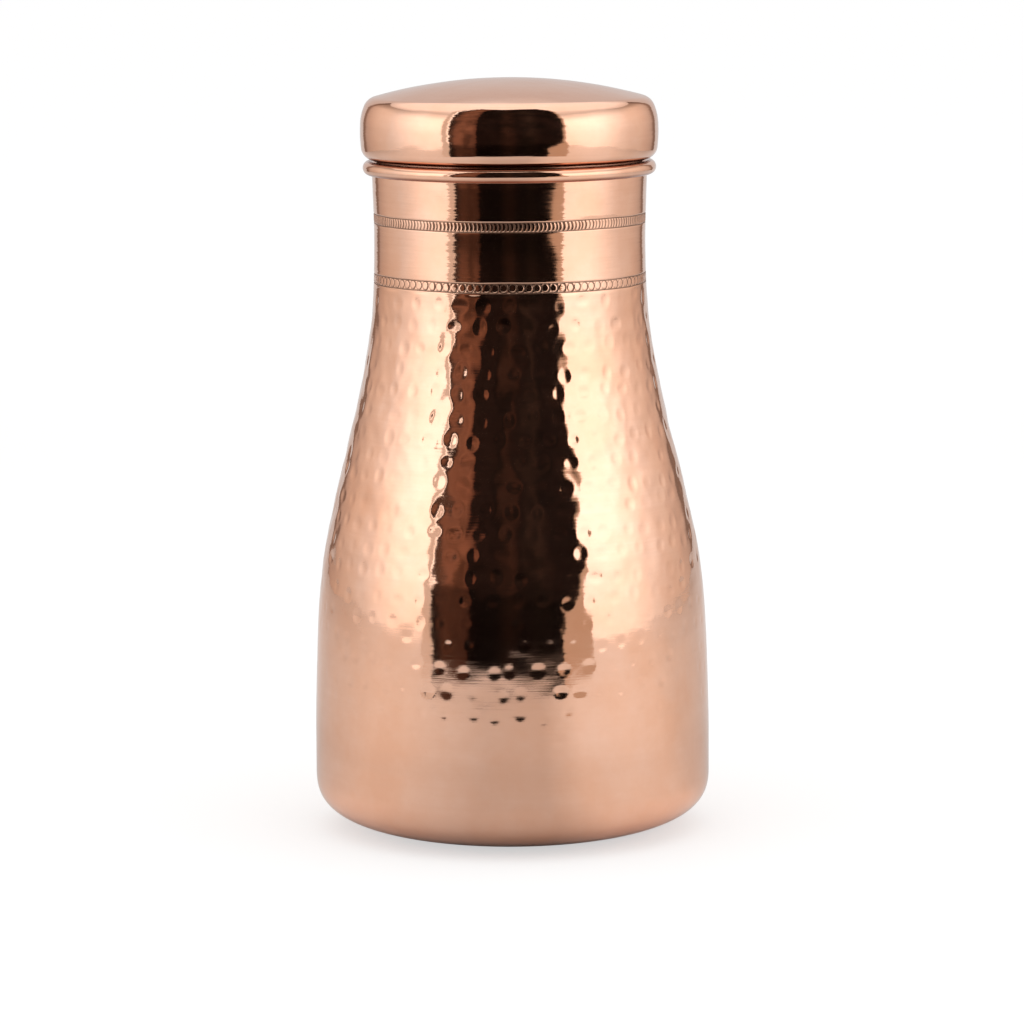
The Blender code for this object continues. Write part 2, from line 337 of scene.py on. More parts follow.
def chased_band(mid, seed, wide):
    """The strip round one band: two engraved lines with a row of punch marks between them.

    The upper band's punch was wide, so each mark shows two upright arcs. The lower band's was
    narrow, and leaves round bosses standing with dark arcs between them.
    """
    r = np.random.default_rng(seed)
    per_mark = 12
    columns = MARKS * per_mark
    rows = 24
    z = np.linspace(mid - BAND_HALF, mid + BAND_HALF, rows)
    radius = smooth_between(TEMPLATE, z)
    a = 2 * np.pi * np.arange(columns) / columns
    waver = sum(0.00005 * r.normal() * np.cos(k * a + r.uniform(0, 6.3)) for k in (1, 2, 3, 5, 8))
    v = z[:, None] - mid - waver[None, :]
    steps = r.normal(0, 1, 60)
    low_wander = 0.00004 * np.interp(a, np.linspace(0, 2 * np.pi, 61), np.r_[steps, steps[0]])
    line = np.zeros((rows, columns))
    for side in (-1, 1):
        off = v - side * BAND_LINE_OFF - low_wander[None, :] * side
        line = np.maximum(line, np.exp(-((off / 0.00020) ** 2)))
    index = np.floor(np.arange(columns) / per_mark).astype(int)
    shift = r.normal(0, 0.00008, MARKS)
    rise = r.normal(0, 0.00006, MARKS)
    press = r.uniform(0.75, 1.15, MARKS)
    pitch = 2 * np.pi * float(radius.mean()) / MARKS
    mark = np.zeros((rows, columns))
    for neighbour in (-1, 0, 1):
        m = (index + neighbour) % MARKS
        u = (a * MARKS / (2 * np.pi) - (index + neighbour) - 0.5) * pitch - shift[m]
        vv = v - rise[m][None, :]
        inside = fade(0.00150 - np.abs(v), 0.0, 0.00022)
        if wide:
            bow = 0.00042 * (1 - (vv / 0.00135) ** 2)
            for where, amount in ((-0.00082, 0.85), (0.00058, 1.0)):
                d = u[None, :] - where - bow
                stroke = amount * np.exp(-((d / 0.00026) ** 2))
                mark = np.maximum(mark, press[m][None, :] * stroke * inside)
        else:
            d = np.sqrt((u[None, :] * 1.06) ** 2 + (vv * 0.92) ** 2)
            ring = fade(d, 0.00100, 0.00116) * (1 - fade(d, 0.00132, 0.00160))
            side = 0.72 + 0.28 * np.clip(u[None, :] / 0.0011, -1, 1)
            mark = np.maximum(mark, press[m][None, :] * ring * side * inside)
    dark = np.maximum(line * 0.85, mark)
    depth = 0.00013 * line + 0.00015 * mark
    return z, radius, np.minimum(depth, 0.0002), np.minimum(dark, 1.0), columns


neck_soft = smooth_field(64, 480, 0.0007, 0.0006, 0.012, 0.03, 41)


def neck_lift(z, n):
    """The neck's slight unevenness at height z, for n points round it."""
    i = np.clip((z - 0.182) / 0.0007, 0, 62.999)
    k = int(i)
    row = neck_soft[k] * (1 - (i - k)) + neck_soft[k + 1] * (i - k)
    row = row * 0.000012
    return np.interp(np.arange(n) / n, np.arange(481) / 480, np.r_[row, row[0]])


last_z = float(wall[-1, 1])
for b, mid in enumerate((BAND_Z[1], BAND_Z[0])):
    z, radius, depth, groove, columns = chased_band(mid, 60 + b, wide=b == 1)
    for i in range(len(z)):
        soft = neck_lift(z[i], columns)
        a = np.stack([np.zeros(columns), groove[i], np.zeros(columns)], 1)
        jar.ring(round_z(radius[i], z[i], columns, soft - depth[i], (1.0, 0.0)), a)
    top = (BAND_Z[0] - BAND_HALF) if b == 0 else TEMPLATE[-1][0]
    for zz in np.linspace(z[-1], top, 16)[1:-1] if b == 0 else np.linspace(z[-1], top, 10)[1:]:
        jar.ring(round_z(float(smooth_between(TEMPLATE, zz)), zz, 480, neck_lift(zz, 480), (1.0, 0.0)))

# the roll: up the neck, round the wire, then back over the outside and down the inner wall
centre = (BEAD_OUT_R - BEAD_R, BEAD_TOP_Z - BEAD_R)
inner_roll = BEAD_R - JAR_SHEET
reach = centre[0] - NECK_TOP_R
bend = arc((centre[0], centre[1] + inner_roll - 2 * reach), reach, 180.0, 90.0, 6, flatten=2.0)
roll_in = np.vstack([bend[:-1], arc(centre, inner_roll, 90.0, ROLL_END_DEG, 18)])
inside_z = np.r_[np.linspace(0.0300, 0.1800, 76)[:-1], np.linspace(0.1800, 0.2170, 10)]
inside_out = np.vstack(
    [[[0.0, 0.0], [0.012, 0.0], [0.025, 0.0]], corner[::3], np.stack([smooth_between(TEMPLATE, inside_z), inside_z], 1), roll_in]
)
face_b = moved_left(inside_out, JAR_SHEET)
face_b[0] = (0.0, JAR_SHEET)
roll_rows = len(roll_in)
roll_unevenness = smooth_field(roll_rows, 480, 0.0004, 0.0006, 0.005, 0.014, 77) * 0.000009
nicks = [(float(rng.uniform(0, 2 * np.pi)), float(rng.uniform(0.0004, 0.0009)), float(rng.uniform(0.0001, 0.0003))) for _ in range(26)]
angles480 = 2 * np.pi * np.arange(480) / 480
for r0, z0 in roll_in[:-1]:
    jar.ring(round_z(r0, z0, 480))
edge_nick = np.zeros(480)
for a0, width, deep in nicks:
    d = (angles480 - a0 + np.pi) % (2 * np.pi) - np.pi
    edge_nick += deep * np.exp(-((d * 0.0465 / width) ** 2))
last_in, last_out = roll_in[-1], face_b[-1]
jar.ring(round_z(last_in[0], last_in[1], 480, edge_nick, (0.0, 1.0)))
n_b = section_normals(inside_out)
for i in range(len(face_b) - 1, -1, -1):
    r0, z0 = face_b[i]
    k = i - (len(face_b) - roll_rows)
    if i == 0:
        jar.ring(np.array([[0.0, 0.0, z0]]))
        break
    if k >= 0:
        amount = roll_unevenness[k]
        if i == len(face_b) - 1:
            amount = amount - edge_nick * 0.6
        # painted shade: the crevice on top of the bead, where the lid's tuck sits over it, and the bead's underside are
        # darkened; the last row stays the sheet's raw edge
        edge_and_painted_crevice_shade = 1.0 * float(fade(z0, BEAD_TOP_Z - 0.0007, BEAD_TOP_Z - 0.0001)) * float(1 - fade(r0, 0.0468, 0.0476))
        painted_shade_below_bead = 1.0 * float(1 - fade(z0, BEAD_TOP_Z - 2 * BEAD_R + 0.0006, BEAD_TOP_Z - 2 * BEAD_R + 0.0013))
        dark = np.full(480, 1.0 if k == roll_rows - 1 else max(edge_and_painted_crevice_shade, painted_shade_below_bead))
        jar.ring(round_z(r0, z0, 480, amount, n_b[i]), np.stack([np.zeros(480), np.zeros(480), dark], 1))
    else:
        n = 240 if r0 > 0.02 else 60
        row = None
        if z0 < HAMMER_TOP and r0 > 0.03:
            src = int(np.argmin(np.abs(wall[:, 1] - z0) + np.abs(wall[:, 0] - r0 - JAR_SHEET)))
            row = lift[src][::2] * 0.8 if n == 240 else None
        jar.ring(round_z(r0, z0, n, row, -n_b[i] * 1.0 if row is not None else None))
jar_ob = jar.build("jar_hammered", ("pit", "groove", "cut_edge_and_shade"))

# ---------------------------------------------------------------- the lid
lip_z = BEAD_TOP_Z + GAP
lip_r = SLEEVE_R + GAP
dome_centre = TOTAL_H - CAP_DOME_R
foot_lean, head_lean = math.radians(CAP_FOOT_LEAN), math.radians(CAP_HEAD_LEAN)


def cap_wall(z):
    low = (CAP_WALL_Z - z) / (CAP_WALL_Z - CAP_FOOT_Z)
    rise = CAP_HEAD_Z - CAP_WALL_Z
    high = np.maximum(z - CAP_WALL_Z, 0.0) / rise
    return np.where(
        z < CAP_WALL_Z,
        CAP_WALL_R - math.tan(foot_lean) * (CAP_WALL_Z - CAP_FOOT_Z) / 2 * low**2,
        CAP_WALL_R - math.tan(head_lean) * rise / (CAP_HEAD_POWER + 1) * high ** (CAP_HEAD_POWER + 1),
    )


tuck_r = (CAP_FOOT_Z - lip_z) / (1 - math.sin(foot_lean))
tuck = (float(cap_wall(CAP_FOOT_Z)) - tuck_r * math.cos(foot_lean), lip_z + tuck_r)
head_r, head_z = float(cap_wall(CAP_HEAD_Z)), CAP_HEAD_Z - dome_centre
edge_r = (CAP_DOME_R**2 - head_r**2 - head_z**2) / (
    2 * (CAP_DOME_R - head_r * math.cos(head_lean) - head_z * math.sin(head_lean))
)
edge = (head_r - edge_r * math.cos(head_lean), CAP_HEAD_Z - edge_r * math.sin(head_lean))
edge_lean = math.degrees(math.asin(edge[0] / (CAP_DOME_R - edge_r)))


def cap_section():
    parts = [np.array([[lip_r, lip_z], [(lip_r + tuck[0]) / 2, lip_z]])]
    parts.append(arc(tuck, tuck_r, -90.0, -CAP_FOOT_LEAN, 18))
    z = np.linspace(CAP_FOOT_Z, CAP_HEAD_Z, 30)[1:]
    parts.append(np.stack([cap_wall(z), z], 1))
    parts.append(arc(edge, edge_r, CAP_HEAD_LEAN, 90.0 - edge_lean, 16)[1:])
    a = np.radians(edge_lean * (1 - np.arange(1, 37) / 36))
    parts.append(np.stack([CAP_DOME_R * np.sin(a), dome_centre + CAP_DOME_R * np.cos(a)], 1))
    return np.vstack(parts)


cap_out = cap_section()
cap_out[-1] = (0.0, TOTAL_H)
cap_in = moved_left(cap_out, LID_SHEET)
cap_in[0] = (lip_r, lip_z + LID_SHEET)
cap_in[-1] = (0.0, TOTAL_H - LID_SHEET)
cap_rows = len(cap_out)
CAP_N = 288
cap_soft = smooth_field(cap_rows, CAP_N, 0.0012, 0.0010, 0.012, 0.035, 91)
cap_n = -section_normals(cap_out)
cap = Turned()
for i in range(cap_rows - 1, -1, -1):
    r0, z0 = cap_out[i]
    if r0 < 1e-6:
        cap.ring(np.array([[0.0, 0.0, z0]]))
        continue
    n = CAP_N if r0 > 0.012 else (144 if r0 > 0.005 else 48)
    soft = cap_soft[i] * 0.000010 * min(1.0, r0 / 0.02)
    soft = soft[:: CAP_N // n]
    # the lip's raw edge is dark, and painted shade darkens the tuck within about 2 mm of the lip
    edge_and_painted_crevice_shade = 1.0 if i == 0 else 0.95 * float(1 - fade(z0, lip_z + 0.0004, lip_z + 0.0021))
    edge = np.full(n, edge_and_painted_crevice_shade)
    cap.ring(round_z(r0, z0, n, soft - 0.00001, cap_n[i]), np.stack([np.zeros(n), np.zeros(n), edge], 1))
for i in range(cap_rows):
    r0, z0 = cap_in[i]
    if r0 < 1e-6:
        cap.ring(np.array([[0.0, 0.0, z0]]))
        continue
    if i % 2 and 2 < i < cap_rows - 2:
        continue
    n = 144 if r0 > 0.005 else 48
    cap.ring(round_z(r0, z0, n))
cap_ob = cap.build("lid_domed_cap", ("pit", "groove", "cut_edge_and_shade"))

flange_z = lip_z + LID_SHEET + GAP
inside_tuck = tuck_r - LID_SHEET
flange_r = tuck[0] + math.sqrt(inside_tuck**2 - (tuck[1] - flange_z) ** 2) - GAP
bend_r = 0.0009
lead_z = SLEEVE_BOTTOM_Z + SLEEVE_LEAD
lead_t = np.linspace(0, 1, 7)
lead_in = SLEEVE_LEAD_IN * (1 - np.sin(lead_t * np.pi / 2)) ** 1.0
sleeve_out = np.vstack(
    [
        np.stack([SLEEVE_R - lead_in, SLEEVE_BOTTOM_Z + SLEEVE_LEAD * lead_t], 1),
        np.stack([np.full(9, SLEEVE_R), np.linspace(lead_z, flange_z, 10)[1:]], 1),
        [[(SLEEVE_R + flange_r) / 2, flange_z], [flange_r, flange_z]],
    ]
)
sleeve_in = np.vstack(
    [
        np.stack([SLEEVE_R - lead_in - LID_SHEET, SLEEVE_BOTTOM_Z + SLEEVE_LEAD * lead_t], 1),
        np.stack([np.full(9, SLEEVE_R - LID_SHEET), np.linspace(lead_z, flange_z + LID_SHEET - bend_r, 10)[1:]], 1),
        arc((SLEEVE_R - LID_SHEET + bend_r, flange_z + LID_SHEET - bend_r), bend_r, 180.0, 90.0, 6)[1:],
        [[flange_r, flange_z + LID_SHEET]],
    ]
)
sleeve = Turned()
for r0, z0 in sleeve_in:
    sleeve.ring(round_z(r0, z0, 192))
for i in range(len(sleeve_out) - 1, -1, -1):
    r0, z0 = sleeve_out[i]
    edge = np.zeros((192, 3))
    edge[:, 2] = 1.0 if i == 0 else 0.0
    sleeve.ring(round_z(r0, z0, 192), edge)
sleeve.close()
sleeve_ob = sleeve.build("lid_spun_sleeve", ("pit", "groove", "cut_edge_and_shade"))


def face_outward(ob):
    """Turns the mesh's faces outward if they point in."""
    import bmesh

    bm = bmesh.new()
    bm.from_mesh(ob.data)
    if bm.calc_volume(signed=True) < 0:
        bmesh.ops.reverse_faces(bm, faces=bm.faces)
        bm.to_mesh(ob.data)
    bm.free()
    ob.data.shade_smooth()
    ob.data.set_sharp_from_angle(angle=math.radians(50.0))


for ob in (jar_ob, cap_ob, sleeve_ob):
    face_outward(ob)


# ---------------------------------------------------------------- materials
def node(nt, kind, **values):
    n = nt.nodes.new(kind)
    for key, value in values.items():
        if key.startswith("in_"):
            n.inputs[int(key[3:])].default_value = value
        else:
            setattr(n, key, value)
    return n


def copper(name, colour, rough, lathe=1.0, satin=0.0, tarnish=0.10, polish=1.0):
    """Polished copper: turning lines round the axis, slight stains, dark oxide in the chased cuts, dark raw edges, and
    painted shade in the crevices at the bead and on the lid's tuck.
    """
    mat = bpy.data.materials.new(name)
    mat.use_nodes = True
    nt = mat.node_tree
    p = nt.nodes["Principled BSDF"]
    p.inputs["Metallic"].default_value = 1.0
    link = nt.links.new
    coord = node(nt, "ShaderNodeTexCoord")
    xyz = node(nt, "ShaderNodeSeparateXYZ")
    link(coord.outputs["Object"], xyz.inputs[0])
    # distance along the section: grows from the top of the piece, out and down
    rho = node(nt, "ShaderNodeMath", operation="MULTIPLY")
    link(xyz.outputs[0], rho.inputs[0]); link(xyz.outputs[0], rho.inputs[1])
    rho2 = node(nt, "ShaderNodeMath", operation="MULTIPLY_ADD")
    link(xyz.outputs[1], rho2.inputs[0]); link(xyz.outputs[1], rho2.inputs[1]); link(rho.outputs[0], rho2.inputs[2])
    root = node(nt, "ShaderNodeMath", operation="SQRT")
    link(rho2.outputs[0], root.inputs[0])
    along = node(nt, "ShaderNodeMath", operation="SUBTRACT")
    link(root.outputs[0], along.inputs[0]); link(xyz.outputs[2], along.inputs[1])

    def turned_noise(fine, slow, detail, rough_n=0.6):
        sx = node(nt, "ShaderNodeMath", operation="MULTIPLY", in_1=slow)
        sy = node(nt, "ShaderNodeMath", operation="MULTIPLY", in_1=slow)
        sz = node(nt, "ShaderNodeMath", operation="MULTIPLY", in_1=fine)
        link(xyz.outputs[0], sx.inputs[0]); link(xyz.outputs[1], sy.inputs[0]); link(along.outputs[0], sz.inputs[0])
        comb = node(nt, "ShaderNodeCombineXYZ")
        link(sx.outputs[0], comb.inputs[0]); link(sy.outputs[0], comb.inputs[1]); link(sz.outputs[0], comb.inputs[2])
        n = node(nt, "ShaderNodeTexNoise")
        n.inputs["Scale"].default_value = 1.0
        n.inputs["Detail"].default_value = detail
        n.inputs["Roughness"].default_value = rough_n
        link(comb.outputs[0], n.inputs["Vector"])
        return n

    lines = turned_noise(3200.0, 26.0, 3.0)
    bands = turned_noise(420.0, 9.0, 2.0)
    chatter = turned_noise(1500.0, 70.0, 2.0, 0.6)
    stains = node(nt, "ShaderNodeTexNoise")
    stains.inputs["Scale"].default_value = 34.0
    stains.inputs["Detail"].default_value = 5.0
    stains.inputs["Roughness"].default_value = 0.62
    link(coord.outputs["Object"], stains.inputs["Vector"])
    fine = node(nt, "ShaderNodeTexNoise")
    fine.inputs["Scale"].default_value = 700.0
    fine.inputs["Detail"].default_value = 3.0
    link(coord.outputs["Object"], fine.inputs["Vector"])

    def attr(name):
        a = node(nt, "ShaderNodeAttribute", attribute_name=name)
        return a.outputs["Fac"]

    groove, pit_a, cut_and_shade_fac = attr("groove"), attr("pit"), attr("cut_edge_and_shade")

    # colour: clean copper, slightly redder stains, dark oxide in the chased cuts, dark raw edges, and painted shade at
    # the bead and on the lid's tuck
    def mixed(fac, a, b, blend="MIX"):
        m = node(nt, "ShaderNodeMix", data_type="RGBA", blend_type=blend)
        if isinstance(fac, float):
            m.inputs[0].default_value = fac
        else:
            link(fac, m.inputs[0])
        for i, c in ((6, a), (7, b)):
            if isinstance(c, tuple):
                m.inputs[i].default_value = (*c, 1.0)
            else:
                link(c, m.inputs[i])
        return m.outputs[2]

    def mapped(value, a, b, c, d):
        m = node(nt, "ShaderNodeMapRange")
        m.inputs[1].default_value, m.inputs[2].default_value = a, b
        m.inputs[3].default_value, m.inputs[4].default_value = c, d
        link(value, m.inputs[0])
        return m.outputs[0]

    warm = tuple(c * k for c, k in zip(colour, (0.97, 0.90, 0.84)))
    pale = tuple(min(1.0, c * k) for c, k in zip(colour, (1.02, 1.05, 1.08)))
    base = mixed(mapped(stains.outputs["Fac"], 0.38, 0.66, 0.0, 1.0), pale, warm)
    base = mixed(mapped(bands.outputs["Fac"], 0.35, 0.7, 0.0, 0.35), base, tuple(c * k for c, k in zip(colour, (0.95, 0.93, 0.90))))
    speck = mapped(fine.outputs["Fac"], 0.66, 0.80, 0.0, tarnish)
    base = mixed(speck, base, tuple(c * k for c, k in zip(colour, (0.60, 0.48, 0.42))))
    base = mixed(mapped(pit_a, 0.0, 1.0, 0.0, 0.06), base, tuple(c * k for c, k in zip(colour, (0.90, 0.84, 0.80))))
    base = mixed(mapped(groove, 0.16, 0.66, 0.0, 0.95), base, (0.20, 0.115, 0.080))
    # painted shade: besides darkening raw sheet edges, this mask darkens the crevice on top of the bead, the bead's
    # underside and the lid's tuck near its lip
    base = mixed(mapped(cut_and_shade_fac, 0.0, 1.0, 0.0, 0.85), base, tuple(c * k for c, k in zip(colour, (0.30, 0.16, 0.13))))
    link(base, p.inputs["Base Color"])
    # roughness: polish with faint turning lines; cuts are dull
    r1 = mapped(lines.outputs["Fac"], 0.3, 0.7, rough * 0.75, rough * 1.35)
    r2 = node(nt, "ShaderNodeMath", operation="ADD")
    link(r1, r2.inputs[0]); link(mapped(stains.outputs["Fac"], 0.3, 0.7, -0.012, 0.02), r2.inputs[1])
    r3 = node(nt, "ShaderNodeMath", operation="ADD")
    link(r2.outputs[0], r3.inputs[0]); link(mapped(groove, 0.1, 0.7, satin, 0.42 + satin), r3.inputs[1])
    r4 = node(nt, "ShaderNodeMath", operation="MAXIMUM", in_1=0.02)
    link(r3.outputs[0], r4.inputs[0])
    link(r4.outputs[0], p.inputs["Roughness"])
    # bump: turning lines
    bump = node(nt, "ShaderNodeBump")
    bump.inputs["Strength"].default_value = 0.12 * lathe
    bump.inputs["Distance"].default_value = 0.00004
    link(lines.outputs["Fac"], bump.inputs["Height"])
    bump2 = node(nt, "ShaderNodeBump")
    bump2.inputs["Strength"].default_value = 0.10
    bump2.inputs["Distance"].default_value = 0.00003
    link(fine.outputs["Fac"], bump2.inputs["Height"])
    link(bump.outputs[0], bump2.inputs["Normal"])
    # polishing lines lean the surface a little sideways, line by line
    across = node(nt, "ShaderNodeTangent", direction_type="RADIAL", axis="Z")
    lean_all = mapped(chatter.outputs["Fac"], 0.2, 0.8, -0.026 * polish, 0.026 * polish)
    calm = node(nt, "ShaderNodeMath", operation="MULTIPLY")
    link(lean_all, calm.inputs[0]); link(mapped(xyz.outputs[2], 0.178, 0.184, 0.45, 1.0), calm.inputs[1])
    lean = calm.outputs[0]
    sideways = node(nt, "ShaderNodeVectorMath", operation="SCALE")
    link(across.outputs[0], sideways.inputs[0]); link(lean, sideways.inputs["Scale"])
    leaning = node(nt, "ShaderNodeVectorMath", operation="ADD")
    link(bump2.outputs[0], leaning.inputs[0]); link(sideways.outputs[0], leaning.inputs[1])
    unit = node(nt, "ShaderNodeVectorMath", operation="NORMALIZE")
    link(leaning.outputs[0], unit.inputs[0])
    link(unit.outputs[0], p.inputs["Normal"])
    return mat


COPPER = (0.90, 0.535, 0.38)
jar_ob.data.materials.append(copper("hammered_copper_bright", COPPER, 0.060))
cap_ob.data.materials.append(copper("spun_copper_bright", COPPER, 0.055, lathe=0.8, polish=0.45))
sleeve_ob.data.materials.append(copper("spun_copper_satin", (0.84, 0.48, 0.34), 0.20, lathe=2.5, satin=0.05))
wire_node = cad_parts["rim_wire"]
wire_mat = copper("drawn_wire", (0.60, 0.32, 0.22), 0.38, lathe=1.0, satin=0.05, tarnish=0.5)
if not wire_node.data.materials:
    wire_node.data.materials.append(wire_mat)
for slot_ in wire_node.material_slots:
    slot_.material = wire_mat

for ob, body, replaced, slot_name in (
    (jar_ob, "jar", "jar_shell", "hammered_copper"),
    (cap_ob, "lid", "lid_cap", "polished_copper"),
    (sleeve_ob, "lid", "lid_sleeve", "spun_copper"),
):
    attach(ob, body)
    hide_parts(replaced)


# ---------------------------------------------------------------- the studio
def stage_mesh(name, verts, faces):
    mesh = bpy.data.meshes.new(name)
    mesh.from_pydata(verts, [], faces)
    mesh.update()
    ob = bpy.data.objects.new(name, mesh)
    bpy.context.scene.collection.objects.link(ob)
    return ob


FLOOR_Z = -0.0002
floor = stage_mesh("floor", [(-9, -9, FLOOR_Z), (9, -9, FLOOR_Z), (9, 14, FLOOR_Z), (-9, 14, FLOOR_Z)], [(0, 1, 2, 3)])


def emitter(name):
    """A material that only shines, from a single Emission node; the callers give it its colour."""
    mat = bpy.data.materials.new(name)
    mat.use_nodes = True
    nt = mat.node_tree
    for n in list(nt.nodes):
        nt.nodes.remove(n)
    out = nt.nodes.new("ShaderNodeOutputMaterial")
    em = nt.nodes.new("ShaderNodeEmission")
    nt.links.new(em.outputs[0], out.inputs["Surface"])
    return mat, nt, em


def by_bearing(nt, table):
    """Colours by bearing from the front, in degrees, on a ramp; also returns the height and the object coordinates."""
    coord = nt.nodes.new("ShaderNodeTexCoord")
    xyz = nt.nodes.new("ShaderNodeSeparateXYZ")
    nt.links.new(coord.outputs["Object"], xyz.inputs[0])
    neg = node(nt, "ShaderNodeMath", operation="MULTIPLY", in_1=-1.0)
    nt.links.new(xyz.outputs[1], neg.inputs[0])
    bearing = node(nt, "ShaderNodeMath", operation="ARCTAN2")
    nt.links.new(xyz.outputs[0], bearing.inputs[0])
    nt.links.new(neg.outputs[0], bearing.inputs[1])
    lo, hi = table[0][0], table[-1][0]
    pos = nt.nodes.new("ShaderNodeMapRange")
    pos.inputs[1].default_value, pos.inputs[2].default_value = math.radians(lo), math.radians(hi)
    nt.links.new(bearing.outputs[0], pos.inputs[0])
    ramp = nt.nodes.new("ShaderNodeValToRGB")
    ramp.color_ramp.interpolation = "LINEAR"
    els = ramp.color_ramp.elements
    while len(els) > 1:
        els.remove(els[0])
    for i, (deg, c) in enumerate(table):
        c = (c, c, c) if isinstance(c, float) else c
        e = els[0] if i == 0 else els.new((deg - lo) / (hi - lo))
        e.position = (deg - lo) / (hi - lo)
        e.color = (*c, 1)
    nt.links.new(pos.outputs[0], ramp.inputs[0])
    return ramp.outputs[0], xyz, coord


def scaled(nt, colour, amount):
    n = node(nt, "ShaderNodeVectorMath", operation="SCALE")
    nt.links.new(colour, n.inputs[0])
    nt.links.new(amount, n.inputs["Scale"])
    return n.outputs[0]


def node_value(nt, value):
    n = nt.nodes.new("ShaderNodeValue")
    n.outputs[0].default_value = value
    return n.outputs[0]


def curved(name, radius, edge_left, edge_right, heights, cols):
    """A curved sheet standing round the jar between two bearings, each a function of height."""
    sv, sf = [], []
    for i in range(cols + 1):
        for h in heights:
            lo, hi = edge_left(h), edge_right(h)
            a = math.radians(lo + (hi - lo) * i / cols)
            sv.append((radius * math.sin(a), -radius * math.cos(a), h))
    k = len(heights)
    for i in range(cols):
        for j in range(k - 1):
            sf.append((i * k + j, (i + 1) * k + j, (i + 1) * k + j + 1, i * k + j + 1))
    ob = stage_mesh(name, sv, sf)
    ob.visible_camera = False
    ob.visible_shadow = False
    return ob


# floor: white to the camera with a soft contact shadow; what the jar mirrors is a diffuse table with painted light and
# shade: darkest in front, brighter at the sides, darker far off, and a painted shadow close to the jar
fmat = bpy.data.materials.new("floor_white")
fmat.use_nodes = True
fnt = fmat.node_tree
for n in list(fnt.nodes):
    fnt.nodes.remove(n)
fout = fnt.nodes.new("ShaderNodeOutputMaterial")
diff_c = node(fnt, "ShaderNodeBsdfDiffuse")
diff_c.inputs["Color"].default_value = (FLOOR_DIFFUSE, FLOOR_DIFFUSE, FLOOR_DIFFUSE, 1)
glow = fnt.nodes.new("ShaderNodeEmission")
glow.inputs["Color"].default_value = (1, 1, 1, 1)
glow.inputs["Strength"].default_value = FLOOR_GLOW
both = fnt.nodes.new("ShaderNodeAddShader")
fnt.links.new(diff_c.outputs[0], both.inputs[0])
fnt.links.new(glow.outputs[0], both.inputs[1])
# painted light and shade by bearing: the mirrored table is darkest in front, below the black card, darker again toward
# the back corners, and brightest at the sides
painted_shade_by_bearing, fxyz, fcoord = by_bearing(
    fnt,
    (
        (-180.0, 0.80), (-135.0, 0.64), (-105.0, 0.72), (-80.0, 0.82), (-58.0, 0.80), (-40.0, 0.71), (-14.0, 0.59), (16.0, 0.59),
        (36.0, 0.82), (62.0, 0.88), (85.0, 0.86), (105.0, 0.72), (135.0, 0.64), (180.0, 0.80),
    ),
)
# painted shade: the mirrored table darkens further from the jar
far = node(fnt, "ShaderNodeVectorMath", operation="LENGTH")
fnt.links.new(fcoord.outputs["Object"], far.inputs[0])
painted_shade_far_off = fnt.nodes.new("ShaderNodeMapRange")
for i, v in enumerate((0.28, 0.66, 1.0, 0.86)):
    painted_shade_far_off.inputs[1 + i].default_value = v
fnt.links.new(far.outputs["Value"], painted_shade_far_off.inputs[0])
diff_r = fnt.nodes.new("ShaderNodeBsdfDiffuse")
# painted shadow: the mirrored table is painted darker close to the jar
painted_shadow_near_jar = fnt.nodes.new("ShaderNodeValToRGB")  # the table is a little darker close to the jar
near_els = painted_shadow_near_jar.color_ramp.elements
while len(near_els) > 1:
    near_els.remove(near_els[0])
for i, (s, v) in enumerate(((0.08, 0.95), (0.13, 0.87), (0.20, 0.84), (0.29, 0.89), (0.42, 0.95), (0.55, 1.0))):
    e = near_els[0] if i == 0 else near_els.new(s)
    e.position = s
    e.color = (v, v, v, 1)
fnt.links.new(far.outputs["Value"], painted_shadow_near_jar.inputs[0])
shade = scaled(fnt, scaled(fnt, painted_shade_by_bearing, painted_shade_far_off.outputs[0]), painted_shadow_near_jar.outputs[0])
fnt.links.new(shade, diff_r.inputs["Color"])
fl_path = fnt.nodes.new("ShaderNodeLightPath")
fmix = fnt.nodes.new("ShaderNodeMixShader")
fnt.links.new(fl_path.outputs["Is Camera Ray"], fmix.inputs[0])
fnt.links.new(diff_r.outputs[0], fmix.inputs[1])
fnt.links.new(both.outputs[0], fmix.inputs[2])
fnt.links.new(fmix.outputs[0], fout.inputs["Surface"])
floor.data.materials.append(fmat)

# the pale screen that goes most of the way round
screen = curved("studio_screen", 1.40, lambda h: -152.0, lambda h: 152.0, (0.0, 0.035, 0.06, 0.3, 0.6, 0.9, 1.15), 200)
smat, snt, em = emitter("screen_light")
ring_c, sxyz, scoord = by_bearing(snt, SCREEN)
up = snt.nodes.new("ShaderNodeMapRange")
for i, v in enumerate((0.05, 0.5, 0.84, 1.08)):
    up.inputs[1 + i].default_value = v
snt.links.new(sxyz.outputs[2], up.inputs[0])
top = snt.nodes.new("ShaderNodeMapRange")
top.interpolation_type = "SMOOTHSTEP"
for i, v in enumerate((0.68, 1.15, 1.0, 0.56)):
    top.inputs[1 + i].default_value = v
snt.links.new(sxyz.outputs[2], top.inputs[0])
ring_c = scaled(snt, ring_c, top.outputs[0])
snt.links.new(scaled(snt, ring_c, up.outputs[0]), em.inputs["Color"])
screen.data.materials.append(smat)


# the black card in front, its right edge leaning out with height, with a bright slit and a grey strip beside its left
# edge and a tan strip beside its right edge
def card_left(h):
    return CARD_LEFT


def card_right(h):
    return float(np.interp(h, (0.105, 0.130, 0.170), (CARD_RIGHT_LOW, 34.5, CARD_RIGHT)))


def tan_right(h):
    return 45.0 - 2.6 * min(1.0, max(0.0, (h - 0.12) / 0.06))


